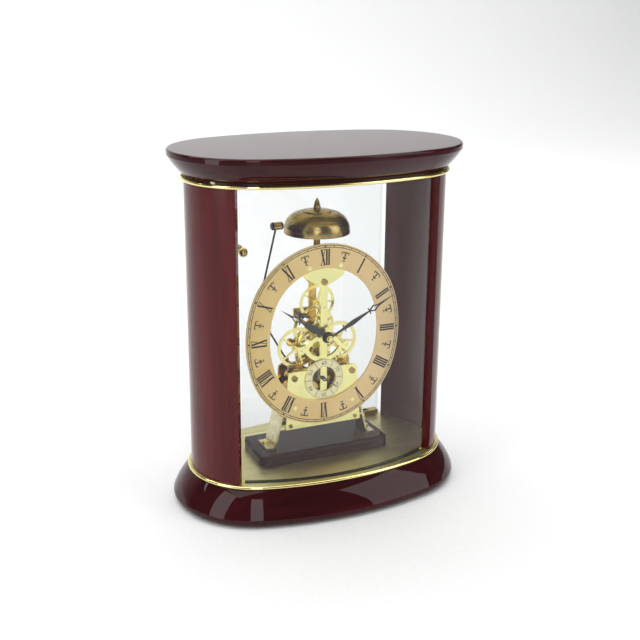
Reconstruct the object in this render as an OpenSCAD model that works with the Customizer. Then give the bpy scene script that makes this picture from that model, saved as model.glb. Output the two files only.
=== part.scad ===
// Mantel clock: an oval gloss case with a glazed front and rear door, and a skeleton
// movement with an oval dial, a bell and a seconds hand, standing on a plinth inside.
// Millimetres, +Z up, front towards -Y, origin at the centre of the footprint.

/* [Case] */
// Radius of the oval's rounded ends
end_r = 47.7; // [47.2:0.1:48.2]
// Distance between the centres of an end arc and a long arc of the oval
arc_d = 172.5; // [170:2.5:177.5]
// Side panel thickness
panel_t = 6; // [5:0.5:8]
// Half angle of a side panel's arc
panel_a = 55; // [50:0.2:55]
// Underside of the lower brass plate
floor_z = 24.6; // [23:0.2:27]
// Underside of the upper brass plate
top_z = 235.2; // [230:0.2:245]
// Brass plate thickness
plate_t = 2.5; // [2:0.1:3]
// How far the brass plates stand out past the panels
plate_lip = 2.6; // [2:0.1:4]
// How far the base stands out past the panels
base_out = 13.6; // [10:0.2:16]
// How far the top board stands out past the panels
top_out = 10.8; // [8:0.2:14]
// Top board thickness
top_h = 18.4; // [17:0.2:21]

/* [Glass] */
// Front glass thickness
glass_t = 3; // [2.5:0.1:3.2]
// Outer radius of the front glass
glass_r = 178; // [170:1:190]
// Half width of the front glass
glass_half_w = 72; // [68:0.5:72]
// Rear door glass thickness
door_t = 4; // [3:0.5:4]
// Half width of the rear door
door_half_w = 71; // [66:0.5:71]
// Front face of the rear door
door_y = 37.5; // [37:0.1:38]
// Knob position across the door
knob_x = -44.5; // [-60:0.5:-30]
// Knob height
knob_z = 174.5; // [120:1:200]

/* [Plinth] */
// Plinth width
plinth_w = 103; // [96:1:110]
// Plinth depth
plinth_d = 44; // [40:1:46]
// Plinth height
plinth_h = 8; // [6:0.5:9]

/* [Dial] */
// Radius of the dial oval's upper and lower arcs
dial_er = 58.92; // [58.8:0.02:59]
// Distance between the centres of an upper arc and a side arc of the dial oval
dial_d = 31; // [30:0.5:31]
// Width of the dial ring's band
dial_band = 17.9; // [17:0.1:18.5]
// Dial ring thickness
dial_t = 1.2; // [1:0.1:1.5]
// Seconds ring outer radius
sec_r = 15.3; // [14.8:0.1:15.4]
// Seconds ring inner radius
sec_in_r = 9.3; // [8.8:0.1:9.6]

/* [Bell] */
// Bell radius at the rim
bell_r = 23.7; // [22:0.1:25]
// Bell height
bell_h = 17.1; // [15:0.1:19]
// Bell wall thickness
bell_t = 1.2; // [1:0.1:1.6]
// Height of the bell's rim
bell_z = 192.5; // [190:0.5:196]

/* [Movement] */
// Height of the centre arbor
centre_z = 119.6; // [119:0.1:120.2]
// Gear thickness
gear_t = 1; // [0.8:0.1:1]
// Tooth height above the pitch circle, in modules
addendum = 0.7; // [0.6:0.05:0.8]
// Tooth thickness at the pitch circle, as a share of the pitch
tooth_share = 0.38; // [0.34:0.01:0.4]
// Direction of the minute hand, degrees clockwise from twelve
minute_deg = 62; // [60:1:64]
// Direction of the hour hand, degrees clockwise from twelve
hour_deg = 304; // [303:1:306]

/* [Hidden] */
$fn = 96;
fit = 0.06;

// Case oval: four arcs that meet on lines rising 0.96 over 0.28.
oval_u = [0.28, 0.96];
end_c = oval_u[0] * arc_d;
side_k = oval_u[1] * arc_d;
side_r = end_r + arc_d;
case_half_w = end_c + end_r;
case_half_d = side_r - side_k;
in_z = floor_z + plate_t;
pad_h = 1;
board_z = top_z + plate_t;
full_h = board_z + top_h;
glass_sink = 0.6;
glass_a = asin(glass_half_w / glass_r);
glass_y = glass_r - case_half_d + 3;

// Depths inside the movement are heights towards the front, so a depth d lies at y = -d.
fp_b = 10.4;
fp_f = 12.4;
bp_b = -10;
bp_f = -8;
plinth_y = 1;
plinth_z = in_z + plinth_h;
bell_y = 1.5;
fan_z = 159.1;
rivet_top = [12, 170.6];
rivet_low = [23, 66.8];
lug = [26, 52.4];
stud = [23, 89];

bridge_f = 2.6;
bridge_b = 1.1;

// Screw, pad and hinge places on the case, [x, y].
rim_w = 35;
screw_arc = end_r - panel_t / 2;
panel_holes = [for (s = [-1, 1], a = [-35, 35])
    [s * (end_c + screw_arc * cos(a)), screw_arc * sin(a)]];
pad_spots = [for (x = [-72, 72], y = [-34, 34]) [x, y]];
board_holes = [for (x = [-50, 50], y = [-22, 22]) [x, y]];
hinge_at = [door_half_w - 3.5, door_y + door_t / 2];
foot_x = 41.1;
leg_in = 0.2;

// Depths of the gear layers' backs: centre, second, right, left, third, motion and hour.
d_c = -6.6;
d_1 = -4.8;
d_r = -1;
d_l = 3.6;
d_3 = -2.6;
d_m = 7.6;
d_h = 9;

// Hammer: head, bend in the wire and the wire's end, [x, z].
head_z = 199.4;
head_x = -35;
elbow = [-45.8, 138.4];
wire_top = [-31.1, head_z];
head_lean = atan2(wire_top[0] - elbow[0], wire_top[1] - elbow[1]);
hammer_d = -bell_y;

// Arbor positions, [x, z].
c_pos = [0, centre_z];
l_pos = [-17.6, centre_z - 10.1];
r_pos = [17.6, centre_z - 10.1];
t_pos = [0, centre_z + 20.8];
s_pos = [0, 86];
a2_pos = [-2.8, 101.5];
m_pos = [0, centre_z + 8];
bt_pos = [15.6, 70.5];
bs_pos = [-15.6, 70.5];
h_pos = [-21.5, 95.6];

// Tooth counts of each meshing pair, driving wheel first.
n_gt = 64;
n_1p = 15;
n_1w = 56;
n_rp = 12;
n_rw = 60;
n_cp = 24;
n_cw = 64;
n_lp = 12;
n_lw = 75;
n_3p = 8;
n_3w = 60;
n_sp = 8;
n_can = 10;
n_mw = 30;
n_mp = 8;
n_hw = 32;
n_tw = 70;
n_fp = 10;

// Modules, from the arbor spacing where the arbors are set first.
m_c = 2 * norm(c_pos - a2_pos) / (n_cw + n_3p);
m_3 = 2 * norm(s_pos - a2_pos) / (n_3w + n_sp);
m_r = 2 * norm(c_pos - r_pos) / (n_rw + n_cp);
m_g = 0.5;
m_1 = 0.6;
m_l = 0.405;
m_h = 0.4;
m_t = 0.39;
a1_pos = meet(bt_pos, (n_gt + n_1p) * m_g / 2, r_pos, (n_1w + n_rp) * m_1 / 2);
f_pos = t_pos + (n_tw + n_fp) * m_t / 2 * [cos(212), sin(212)];
b_pos = s_pos + 13.4 * [cos(46), sin(46)];
v_pos = s_pos + 7.3 * [cos(46), sin(46)];

// Tooth phases: each follower has a gap where its driver has a tooth.
ph_c = 0;
ph_3p = mesh_deg(ph_c, n_cw, bearing(c_pos, a2_pos), n_3p);
ph_sp = mesh_deg(ph_3p, n_3w, bearing(a2_pos, s_pos), n_sp);
ph_r = mesh_deg(ph_c, n_cp, bearing(c_pos, r_pos), n_rw);
ph_1 = mesh_deg(ph_r, n_rp, bearing(r_pos, a1_pos), n_1w);
ph_g = mesh_deg(ph_1, n_1p, bearing(a1_pos, bt_pos), n_gt);
ph_m = mesh_deg(ph_c, n_can, bearing(c_pos, m_pos), n_mw);
ph_h = mesh_deg(ph_m, n_mp, bearing(m_pos, c_pos), n_hw);
ph_f = mesh_deg(0, n_tw, bearing(t_pos, f_pos), n_fp);

// Point at distance rp from p and rq from q, to the left of the line p to q.
function meet(p, rp, q, rq, side = 1) =
    let (v = q - p, d = norm(v), u = v / d, a = (rp * rp - rq * rq + d * d) / (2 * d))
    p + a * u + side * sqrt(rp * rp - a * a) * [-u[1], u[0]];

// Centre of the circle of radius r through p and q, to the left of the line p to q.
function arc_centre(p, q, r) = meet(p, r, q, r);

// Direction from p to q in degrees.
function bearing(p, q) = atan2(q[1] - p[1], q[0] - p[0]);

// Turn of a gear of n2 teeth that meshes with one of n1 teeth turned by a1.
function mesh_deg(a1, n1, th, n2) = th + 180 - 360 / n2 * ((a1 - th) * n1 / 360 + 0.5);

// A profile carried round an oval; its x = 0 lies on the oval and it is tall by at most h.
module oval_sweep(er, d, z0, h) {
    c = oval_u[0] * d;
    k = oval_u[1] * d;
    far = 2.5 * (er + d) * oval_u;
    for (s = [0, 180])
        rotate([0, 0, s]) {
            intersection() {
                translate([c, 0, 0])
                    rotate([0, 0, 180])
                        rotate_extrude()
                            translate([er, 0])
                                children();
                translate([0, 0, z0 - 1])
                    linear_extrude(h + 2)
                        polygon([[c, 0], [c, 0] + far, [c + far[1], 0], [c + far[0], -far[1]]]);
            }
            intersection() {
                translate([0, -k, 0])
                    rotate([0, 0, -90])
                        rotate_extrude()
                            translate([er + d, 0])
                                children();
                translate([0, 0, z0 - 1])
                    linear_extrude(h + 2)
                        polygon([[0, -k], [0, -k] + far, [-far[0], far[1] - k]]);
            }
        }
}

// A profile carried round the case oval, with the middle filled from z0 up by h.
module case_oval(z0, h) {
    oval_sweep(end_r, arc_d, z0, h)
        children();
    half_w = case_half_w - rim_w + 5;
    half_d = case_half_d - rim_w + 5;
    translate([-half_w, -half_d, z0])
        cube([2 * half_w, 2 * half_d, h]);
}

// Flat outlines extruded one by one and joined as solids.
module slab(t) {
    for (i = [0:$children - 1])
        linear_extrude(t)
            children(i);
}

// Turns a part drawn flat so that its height runs towards the front.
module upright() {
    rotate([90, 0, 0])
        children();
}

// Round bar along the depth axis at [x, z], from depth d0 to d1.
module bar(p, d0, d1, r) {
    translate([p[0], p[1], d0])
        cylinder(r = r, h = d1 - d0);
}

// Upright round bar at [x, y], from height z0 to z1.
module post(p, z0, z1, r) {
    translate([p[0], p[1], z0])
        cylinder(r = r, h = z1 - z0);
}

// ---- Case ----

module base_profile() {
    p = [1.2, floor_z];
    q = [base_out - 4.5, 5.5];
    v = meet(q, 40.5, p, 45);
    t = q + 4.5 / 40.5 * (q - v);
    intersection() {
        translate(v)
            circle(r = 45);
        polygon([[-rim_w, t[1]], [20, t[1]], [20, floor_z], [-rim_w, floor_z]]);
    }
    intersection() {
        translate(q)
            circle(r = 4.5);
        translate([-20, 1])
            square([40, t[1] - 1]);
    }
    polygon([[-rim_w, 1], [q[0], 1], q, t, [-rim_w, t[1]]]);
}

module base() {
    color([0.3, 0.04, 0.07])
        difference() {
            case_oval(1, floor_z - 1)
                base_profile();
            for (p = panel_holes) {
                post(p, 0, floor_z + 1, 1.6);
                post(p, 0, 8, 4.5);
            }
            for (x = [-30, 30]) {
                post([x, plinth_y], 0, floor_z + 1, 1.6);
                post([x, plinth_y], 0, 8, 4.5);
            }
            for (p = pad_spots)
                post(p, 0, 1.5, 6.1);
        }
}

module base_pads() {
    color([0.1, 0.1, 0.1])
        for (p = pad_spots)
            post(p, 0, 1.5, 6);
}

// Brass plate with a full round edge.
module plate_profile(z) {
    translate([-rim_w, z])
        square([rim_w + plate_lip - plate_t / 2, plate_t]);
    translate([plate_lip - plate_t / 2, z + plate_t / 2])
        circle(r = plate_t / 2);
}

// Curved sheet of the front glass, grown by g all round.
module glass_arc(z, h, g, a) {
    translate([0, glass_y, z])
        rotate([0, 0, -90 - a])
            rotate_extrude(angle = 2 * a)
                translate([glass_r - glass_t - g, 0])
                    square([glass_t + 2 * g, h]);
}

module floor_plate() {
    color([0.75, 0.65, 0.35])
        difference() {
            case_oval(floor_z, plate_t)
                plate_profile(floor_z);
            glass_arc(in_z - glass_sink, 2, 0.2, glass_a + 0.1);
            for (p = panel_holes)
                post(p, floor_z - 1, in_z + 1, 1.6);
            for (x = [-30, 30])
                post([x, plinth_y], floor_z - 1, in_z + 1, 1.6);
            post(hinge_at, floor_z - 1, in_z + 1, 1.1);
        }
}

module side_panel(s) {
    difference() {
        translate([s * end_c, 0, in_z])
            rotate([0, 0, (s > 0 ? 0 : 180) - panel_a])
                rotate_extrude(angle = 2 * panel_a)
                    translate([end_r - panel_t, 0])
                        square([panel_t, top_z - in_z]);
        for (p = panel_holes) {
            post(p, in_z - 1, in_z + 16.2, 1.56);
            post(p, top_z - 14.2, top_z + 1, 1.56);
        }
    }
}

module side_panel_left() {
    color([0.35, 0.04, 0.08])
        side_panel(-1);
}

module side_panel_right() {
    color([0.35, 0.04, 0.08])
        side_panel(1);
}

module front_glass() {
    color([0.85, 0.92, 0.95, 0.3])
        glass_arc(in_z - glass_sink + 0.05, top_z - in_z + 2 * glass_sink - 0.1, 0, glass_a);
}

module top_plate() {
    color([0.75, 0.65, 0.35])
        difference() {
            case_oval(top_z, plate_t)
                plate_profile(top_z);
            glass_arc(top_z - 2, 2 + glass_sink, 0.2, glass_a + 0.1);
            for (p = concat(panel_holes, board_holes))
                post(p, top_z - 1, board_z + 1, 1.6);
            post(hinge_at, top_z - 1, board_z + 1, 1.1);
        }
}

module top_profile() {
    p = [0.8, board_z + 1.4];
    q = [top_out + 0.2, full_h - 4];
    r = 1.6;
    intersection() {
        translate(arc_centre(p, q, 60))
            circle(r = 60);
        polygon([[-rim_w, p[1]], [20, p[1]], [20, q[1]], [-rim_w, q[1]]]);
    }
    translate([-rim_w, board_z])
        square([rim_w - 1, 1.4]);
    translate([-rim_w, q[1]])
        square([rim_w + q[0], 4 - r]);
    translate([-rim_w, q[1]])
        square([rim_w + q[0] - r, 4]);
    translate([q[0] - r, full_h - r])
        circle(r = r);
}

module top_board() {
    color([0.3, 0.04, 0.07])
        difference() {
            case_oval(board_z, top_h)
                top_profile();
            for (p = panel_holes)
                post(p, board_z - 1, board_z + 2.6, 3.3);
            for (p = board_holes)
                post(p, board_z - 1, board_z + 12.2, 1.56);
            post(hinge_at, board_z - 1, board_z + 2.6, 2.4);
        }
}

// Slotted screw pointing up from z; its head hangs below z.
module screw_up(p, z, l, r, hr, hh) {
    difference() {
        union() {
            post(p, z - hh / 2, z + l, r);
            post(p, z - hh, z, hr);
        }
        translate([p[0] - hr - 1, p[1] - 0.4, z - hh - 1])
            cube([2 * hr + 2, 0.8, 1 + hh * 0.45]);
    }
}

// The same screw pointing down from z.
module screw_down(p, z, l, r, hr, hh) {
    translate([0, 0, 2 * z])
        mirror([0, 0, 1])
            screw_up(p, z, l, r, hr, hh);
}

module panel_screws() {
    color([0.6, 0.6, 0.6])
        for (p = panel_holes)
            screw_up(p, 8, in_z + 8, 1.5, 4, 2.5);
}

module plinth_screws() {
    color([0.6, 0.6, 0.6])
        for (x = [-30, 30])
            screw_up([x, plinth_y], 8, in_z - 8 + 5.8, 1.5, 4, 2.5);
}

module top_screws() {
    color([0.6, 0.6, 0.6])
        for (p = panel_holes)
            screw_down(p, board_z, plate_t + 14, 1.5, 3, 2.2);
}

module board_screws() {
    color([0.75, 0.62, 0.3])
        for (p = board_holes)
            screw_up(p, top_z, plate_t + 12, 1.5, 3, 1.8);
}

// ---- Rear door ----

module hinge_brackets() {
    color([0.75, 0.62, 0.3]) {
        post(hinge_at, floor_z + 0.5, in_z + 1.5, 1.05);
        post(hinge_at, in_z, in_z + 0.6, 2.6);
        post(hinge_at, top_z - 1.5, board_z, 1.05);
        post(hinge_at, top_z - 0.6, top_z, 2.6);
    }
}

module door_catch() {
    color([0.2, 0.2, 0.2])
        translate([-58, door_y - 6.2, in_z])
            cube([9, 6, 4]);
}

module door_glass() {
    color([0.85, 0.92, 0.95, 0.3])
        difference() {
            translate([-door_half_w, door_y, in_z + 1.6])
                cube([2 * door_half_w, door_t, top_z - in_z - 3.2]);
            for (z = [in_z + 0.9, top_z - 4.8])
                translate([door_half_w - 8.1, door_y - 1, z])
                    cube([10, door_t + 2, 3.9]);
            upright()
                bar([knob_x, knob_z], -door_y - door_t - 1, -door_y + 1, 1.6);
        }
}

// Brass block that fills the cut corner of the glass and turns on the pivot.
module door_shoe() {
    difference() {
        translate([door_half_w - 12, door_y - 1, in_z + 0.7])
            cube([12, door_t + 2, 4]);
        translate([door_half_w - 13, door_y - 0.05, in_z + 1.55])
            cube([4.95, door_t + 0.1, 6]);
        post(hinge_at, in_z, in_z + 2, 1.05 + fit);
    }
}

module door_shoes() {
    color([0.8, 0.68, 0.35]) {
        door_shoe();
        translate([0, 0, top_z + in_z])
            mirror([0, 0, 1])
                door_shoe();
    }
}

module door_knobs() {
    color([0.8, 0.65, 0.3])
        upright()
            translate([knob_x, knob_z, 0])
                difference() {
                    union() {
                        translate([0, 0, -door_y])
                            cylinder(r = 2.2, h = 1.5);
                        translate([0, 0, -door_y + 4.2])
                            sphere(r = 3.5);
                        translate([0, 0, -door_y - door_t - 5])
                            rotate_extrude()
                                polygon([[0, 0.2], [2.8, 0.2], [3.5, 0.9], [3.5, 2.6], [2.4, 3.8],
                                    [2.2, 5], [0, 5]]);
                    }
                    translate([0, 0, -door_y - door_t - 3.8])
                        cylinder(r = 1.5, h = door_t + 6.8);
                }
}

module knob_bolt() {
    color([0.6, 0.6, 0.6])
        upright()
            bar([knob_x, knob_z], -door_y - door_t - 3.7, -door_y + 2.9, 1.45);
}

// ---- Plinth and frame ----

module soft_square(w, h, r) {
    square([w, h - r]);
    translate([r, 0])
        square([w - 2 * r, h]);
    for (x = [r, w - r])
        translate([x, h - r])
            circle(r = r);
}

module plinth() {
    r = 3.2;
    c = 8;
    w = plinth_w;
    d = plinth_d;
    color([0.3, 0.04, 0.07])
        difference() {
            intersection() {
                translate([-w / 2, plinth_y - d / 2, in_z])
                    linear_extrude(plinth_h)
                        union() {
                            translate([c, 0])
                                square([w - 2 * c, d]);
                            translate([0, c])
                                square([w, d - 2 * c]);
                            for (x = [c, w - c], y = [c, d - c])
                                translate([x, y])
                                    circle(r = c);
                        }
                translate([-w / 2, plinth_y + d / 2, in_z])
                    rotate([90, 0, 0])
                        linear_extrude(d)
                            soft_square(w, plinth_h, r);
                translate([-w / 2, plinth_y - d / 2, in_z])
                    rotate([90, 0, 90])
                        linear_extrude(w)
                            soft_square(d, plinth_h, r);
            }
            for (x = [-30, 30])
                post([x, plinth_y], in_z - 1, in_z + 6, 1.56);
            for (x = [-foot_x, foot_x])
                post([x, plinth_y], plinth_z - 5.5, plinth_z + 1, 1.26);
        }
}

// Bent strap with a foot, an ear between the plates and a cross bar for the screws.
module leg(s) {
    mirror([s > 0 ? 0 : 1, 0, 0])
        difference() {
            upright()
                union() {
                    translate([0, 0, bp_f + leg_in])
                        linear_extrude(fp_b - bp_f - 2 * leg_in)
                            polygon([[30.9, 60], [32.5, 60], [38.2, plinth_z + 1.5], [44, plinth_z + 1.5],
                                [44, plinth_z], [36.9, plinth_z], [32.9, 51.6], [lug[0], 51.6],
                                [lug[0], 53.4], [32.5, 53.4]]);
                    bar(lug, bp_f, fp_b, 2.8);
                }
            upright() {
                bar(lug, fp_b - 6, fp_b + 1, 1.06);
                bar(lug, bp_f - 1, bp_f + 6, 1.06);
            }
            post([foot_x, plinth_y], plinth_z - 1, plinth_z + 3, 1.4);
        }
}

module leg_left() {
    color([0.72, 0.6, 0.3])
        leg(-1);
}

module leg_right() {
    color([0.72, 0.6, 0.3])
        leg(1);
}

module foot_screws() {
    color([0.8, 0.68, 0.35])
        for (x = [-foot_x, foot_x])
            screw_down([x, plinth_y], plinth_z + 1.5, 6.5, 1.2, 2.4, 1.6);
}

// Screw along the depth axis with its head towards the front of depth d.
module screw_front(p, d, l, r, hr, hh) {
    difference() {
        union() {
            bar(p, d - l, d + hh / 3, r);
            bar(p, d, d + hh, hr);
        }
        translate([p[0], p[1], d + hh * 0.55])
            rotate([0, 0, 35])
                translate([-hr - 1, -0.3, 0])
                    cube([2 * hr + 2, 0.6, hh]);
    }
}

module plate_screws() {
    color([0.8, 0.68, 0.35])
        upright() {
            for (s = [-1, 1]) {
                screw_front([s * lug[0], lug[1]], fp_f, 7, 1, 1.5, 0.6);
                screw_front([s * stud[0], stud[1]], fp_f, 6, 1.2, 2.3, 1);
            }
            screw_front([0, fan_z], fp_f, 6, 1.2, 2.3, 1);
            mirror([0, 0, 1]) {
                for (s = [-1, 1])
                    screw_front([s * lug[0], lug[1]], -bp_b, 7, 1, 2, 1);
                screw_front([0, fan_z], -bp_b, 6, 1.2, 2.3, 1);
            }
        }
}

// Blank shared by both plates: foot, trefoil, upright bar.
module plate_blank(t) {
    slab(t) {
        polygon([[-30, 49.8], [30, 49.8], [27.2, 90.5], [24, 94], [-24, 94], [-27.2, 90.5]]);
        for (s = [-1, 1])
            translate([s * 23.7, 90.5])
                circle(r = 3.5);
        for (s = [-1, 1])
            translate([s * 17.6, r_pos[1]])
                circle(r = 3);
        translate(s_pos)
            circle(r = 14.4);
        intersection() {
            translate([0, centre_z - 3.6])
                circle(r = 16.8);
            translate([0, centre_z - 16.6])
                circle(r = 16.8);
        }
        translate(c_pos)
            circle(r = 6);
        translate([-2.8, centre_z])
            square([5.6, fan_z - centre_z]);
    }
}

// Openings of the trefoil and the seconds ring, either side of a narrow bar.
module plate_windows(t) {
    translate([0, 0, -1])
        difference() {
            slab(t + 2) {
                intersection() {
                    translate([0, centre_z - 3.6])
                        circle(r = 13.7);
                    translate([0, centre_z - 16.6])
                        circle(r = 13.7);
                }
                translate(s_pos)
                    circle(r = sec_in_r + 0.2);
            }
            translate([0, 0, -1])
                slab(t + 4) {
                    translate([-2.6, s_pos[1] - 12])
                        square([5.2, 60]);
                    translate(c_pos)
                        circle(r = 6.2);
                    translate(a2_pos)
                        circle(r = 2.2);
                    translate(a1_pos)
                        circle(r = 1.8);
                }
        }
}

module pivots(list, d0, d1) {
    for (p = list)
        bar(p, d0 - 1, d1 + 1, 0.6 + fit);
}

module front_plate() {
    color([0.9, 0.8, 0.45])
        upright()
            difference() {
                translate([0, 0, fp_b])
                    difference() {
                        union() {
                            plate_blank(fp_f - fp_b);
                            slab(fp_f - fp_b)
                                polygon([[-2.8, 156.4], [-8, 158.8], [-15.5, 163.4], [-16, 166], [-15, 173.5],
                                    [15, 173.5], [16, 166], [15.5, 163.4], [8, 158.8], [2.8, 156.4]]);
                        }
                        plate_windows(fp_f - fp_b);
                    }
                bar(c_pos, fp_b - 1, fp_f + 1, 2.6 + fit);
                for (s = [-1, 1]) {
                    bar([s * lug[0], lug[1]], fp_b - 1, fp_f + 1, 1.1);
                    bar([s * stud[0], stud[1]], fp_b - 1, fp_f + 1, 1.3);
                    bar([s * rivet_top[0], rivet_top[1]], fp_b - 1, fp_f + 1, 1.06);
                    bar([s * rivet_low[0], rivet_low[1]], fp_b - 1, fp_f + 1, 1.06);
                }
                bar([0, fan_z], fp_b - 1, fp_f + 1, 1.3);
                pivots([l_pos, r_pos, t_pos, m_pos, s_pos, a1_pos, a2_pos, b_pos], fp_b, fp_f);
                for (p = [bt_pos, bs_pos])
                    bar(p, fp_b - 1, fp_f + 1, 1.5 + fit);
            }
}

module back_plate() {
    color([0.8, 0.68, 0.38])
        upright()
            difference() {
                translate([0, 0, bp_b])
                    difference() {
                        union() {
                            plate_blank(bp_f - bp_b);
                            slab(bp_f - bp_b) {
                                translate([0, fan_z])
                                    circle(r = 6);
                                translate([-15, f_pos[1] - 3])
                                    square([15, 6]);
                                translate([h_pos[0] - 2.4, 90])
                                    square([4.8, 8]);
                            }
                        }
                        plate_windows(bp_f - bp_b);
                    }
                bar(c_pos, bp_b - 1, bp_f + 1, 0.8 + fit);
                for (s = [-1, 1])
                    bar([s * lug[0], lug[1]], bp_b - 1, bp_f + 1, 1.1);
                bar([0, fan_z], bp_b - 1, bp_f + 1, 1.3);
                pivots([l_pos, r_pos, t_pos, a1_pos, a2_pos, f_pos, h_pos], bp_b, bp_f);
                for (p = [bt_pos, bs_pos])
                    bar(p, bp_b - 1, bp_f + 1, 2 + fit);
            }
}

module top_pillar() {
    color([0.8, 0.68, 0.35])
        upright()
            difference() {
                bar([0, fan_z], bp_f, fp_b, 3.6);
                bar([0, fan_z], fp_b - 5, fp_b + 1, 1.26);
                bar([0, fan_z], bp_f - 1, bp_f + 5, 1.26);
                translate([0, fan_z, -bell_y])
                    rotate([-90, 0, 0])
                        cylinder(r = 1.56, h = 6);
            }
}

module bridge_pillars() {
    color([0.8, 0.68, 0.35])
        upright()
            for (s = [-1, 1])
                difference() {
                    bar([s * stud[0], stud[1]], bridge_b - 0.8, fp_b, 2);
                    bar([s * stud[0], stud[1]], fp_b - 5, fp_b + 1, 1.26);
                }
}

module bridge() {
    color([0.8, 0.68, 0.38])
        upright()
            difference() {
                translate([0, 0, bridge_b])
                    slab(bridge_f - bridge_b) {
                        translate([-23, 86])
                            square([46, 6]);
                        translate([-7, 86.5])
                            square([20, 12]);
                        for (s = [-1, 1])
                            translate([s * stud[0], stud[1]])
                                circle(r = 3.4);
                        translate(s_pos)
                            circle(r = 2.6);
                        translate([h_pos[0] - 2.4, 90])
                            square([4.8, 8]);
                    }
                for (s = [-1, 1])
                    bar([s * stud[0], stud[1]], 0, 4, 2 + 0.02);
                pivots([s_pos, b_pos, v_pos, h_pos], bridge_b, bridge_f);
                bar(a1_pos, 0, 4, 1.6);
            }
}

// ---- Dial, bell and hands ----

// Flat band of the oval, bent from four arcs.
module dial_ring() {
    color([0.9, 0.72, 0.5])
        upright()
            difference() {
                translate([0, centre_z, fp_f])
                    rotate([0, 0, 90])
                        oval_sweep(dial_er, dial_d, 0, dial_t)
                            translate([-dial_band, 0])
                                square([dial_band, dial_t]);
                for (s = [-1, 1], p = [rivet_top, rivet_low])
                    bar([s * p[0], p[1]], fp_f - 1, fp_f + dial_t + 1, 1.06);
            }
}

module dial_rivets() {
    color([0.95, 0.85, 0.5])
        upright()
            for (s = [-1, 1], p = [rivet_top, rivet_low]) {
                bar([s * p[0], p[1]], fp_b, fp_f + dial_t + 0.1, 1);
                bar([s * p[0], p[1]], fp_f + dial_t, fp_f + dial_t + 0.5, 1.6);
            }
}

module seconds_ring() {
    color([0.85, 0.8, 0.55])
        upright()
            translate([s_pos[0], s_pos[1], fp_f])
                difference() {
                    cylinder(r = sec_r, h = 0.8);
                    translate([0, 0, -1])
                        cylinder(r = sec_in_r, h = 3);
                }
}

// Turned shell, open below, with a hole in its crown.
module bell() {
    color([0.6, 0.5, 0.25])
        translate([0, bell_y, bell_z])
            difference() {
                rotate_extrude()
                    bell_section(0);
                rotate_extrude()
                    bell_section(bell_t);
                translate([0, 0, -1])
                    cylinder(r = 1.56, h = bell_h + 2);
            }
}

// Solid half section of the bell, drawn in from the outside by t.
module bell_section(t) {
    ro = 13;
    rc = 44;
    v = [0, bell_h - rc];
    intersection() {
        union() {
            translate([bell_r - ro, bell_h - 14.9])
                circle(r = ro - t);
            square([bell_r - ro, bell_h - t]);
            square([bell_r - t, bell_h - 14.9]);
        }
        translate(v)
            circle(r = rc - t);
        square([bell_r, bell_h]);
    }
}

module bell_post() {
    top = bell_z + bell_h;
    color([0.45, 0.38, 0.28]) {
        post([0, bell_y], fan_z + 0.3, top + 3.4, 1.5);
        post([0, bell_y], fan_z + 3.65, top - bell_t - 0.05, 2.4);
    }
}

module bell_nut() {
    color([0.55, 0.45, 0.25])
        translate([0, bell_y, bell_z + bell_h])
            difference() {
                rotate_extrude()
                    polygon([[0, 0], [2.5, 0], [2.6, 0.8], [2.3, 3.2], [1.6, 3.6], [1.9, 4.4], [1.2, 6],
                        [0, 8]]);
                translate([0, 0, -1])
                    cylinder(r = 1.56, h = 4.6);
            }
}

// Hand pointing up from its own centre: stem, leaf from a to b, open diamond from b to c, tip.
module hand(len, wide, hub, bore, a, b, c) {
    leaf = a + (b - a) * 0.35;
    mid = b + (c - b) * 0.45;
    difference() {
        slab(0.6) {
            circle(r = hub);
            translate([-0.8, 0])
                square([1.6, a + 1]);
            polygon([[-0.8, a - 2], [-wide, leaf], [-0.5, b], [0.5, b], [wide, leaf], [0.8, a - 2]]);
            polygon([[0, b - 1], [-2.5, mid], [0, c], [2.5, mid]]);
            polygon([[-0.9, c - 2.4], [0, len], [0.9, c - 2.4]]);
            translate([-2.8, a])
                square([5.6, 0.8]);
            translate([-2.6, b])
                square([5.2, 0.8]);
        }
        translate([0, 0, -1])
            slab(3) {
                polygon([[0, b + 1.4], [-1.5, mid], [0, c - 2], [1.5, mid]]);
                circle(r = bore);
            }
    }
}

module minute_hand() {
    color([0.05, 0.05, 0.05])
        upright()
            translate([c_pos[0], c_pos[1], 21.4])
                rotate([0, 0, -minute_deg])
                    hand(57, 1.9, 3, 1.22, 13, 35.5, 45.5);
}

module hour_hand() {
    color([0.05, 0.05, 0.05])
        upright()
            translate([c_pos[0], c_pos[1], 18.6])
                rotate([0, 0, -hour_deg])
                    hand(44, 3, 4.2, 2.22, 6, 25, 34.5);
}

module hand_nut() {
    color([0.95, 0.85, 0.45])
        upright()
            difference() {
                union() {
                    bar(c_pos, 22.05, 22.8, 2.3);
                    translate([c_pos[0], c_pos[1], 22.7])
                        cylinder(r1 = 2, r2 = 1.5, h = 1.4);
                }
                bar(c_pos, 21, 23.4, 1.22);
            }
}

// ---- Gears ----

// Outline of a gear of n teeth of module m.
module teeth(n, m) {
    r = n * m / 2;
    ro = r + addendum * m;
    ri = r - (addendum + 0.25) * m;
    h = 180 / n * tooth_share;
    polygon([for (i = [0:n - 1], k = [[ri, -1.5], [ro, -0.55], [ro, 0.55], [ri, 1.5]])
        k[0] * [cos(360 * i / n + k[1] * h), sin(360 * i / n + k[1] * h)]]);
}

// Crossed-out wheel at p with its back at depth d.
module wheel(p, n, m, turn, d, spokes, rim = 2, hub = 3) {
    ri = n * m / 2 - 0.95 * m - rim;
    translate([p[0], p[1], d])
        rotate([0, 0, turn])
            linear_extrude(gear_t)
                difference() {
                    teeth(n, m);
                    difference() {
                        circle(r = ri);
                        circle(r = hub);
                        for (i = [0:spokes - 1])
                            rotate([0, 0, 360 * i / spokes])
                                translate([0, -0.7])
                                    square([ri + 1, 1.4]);
                    }
                }
}

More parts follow.
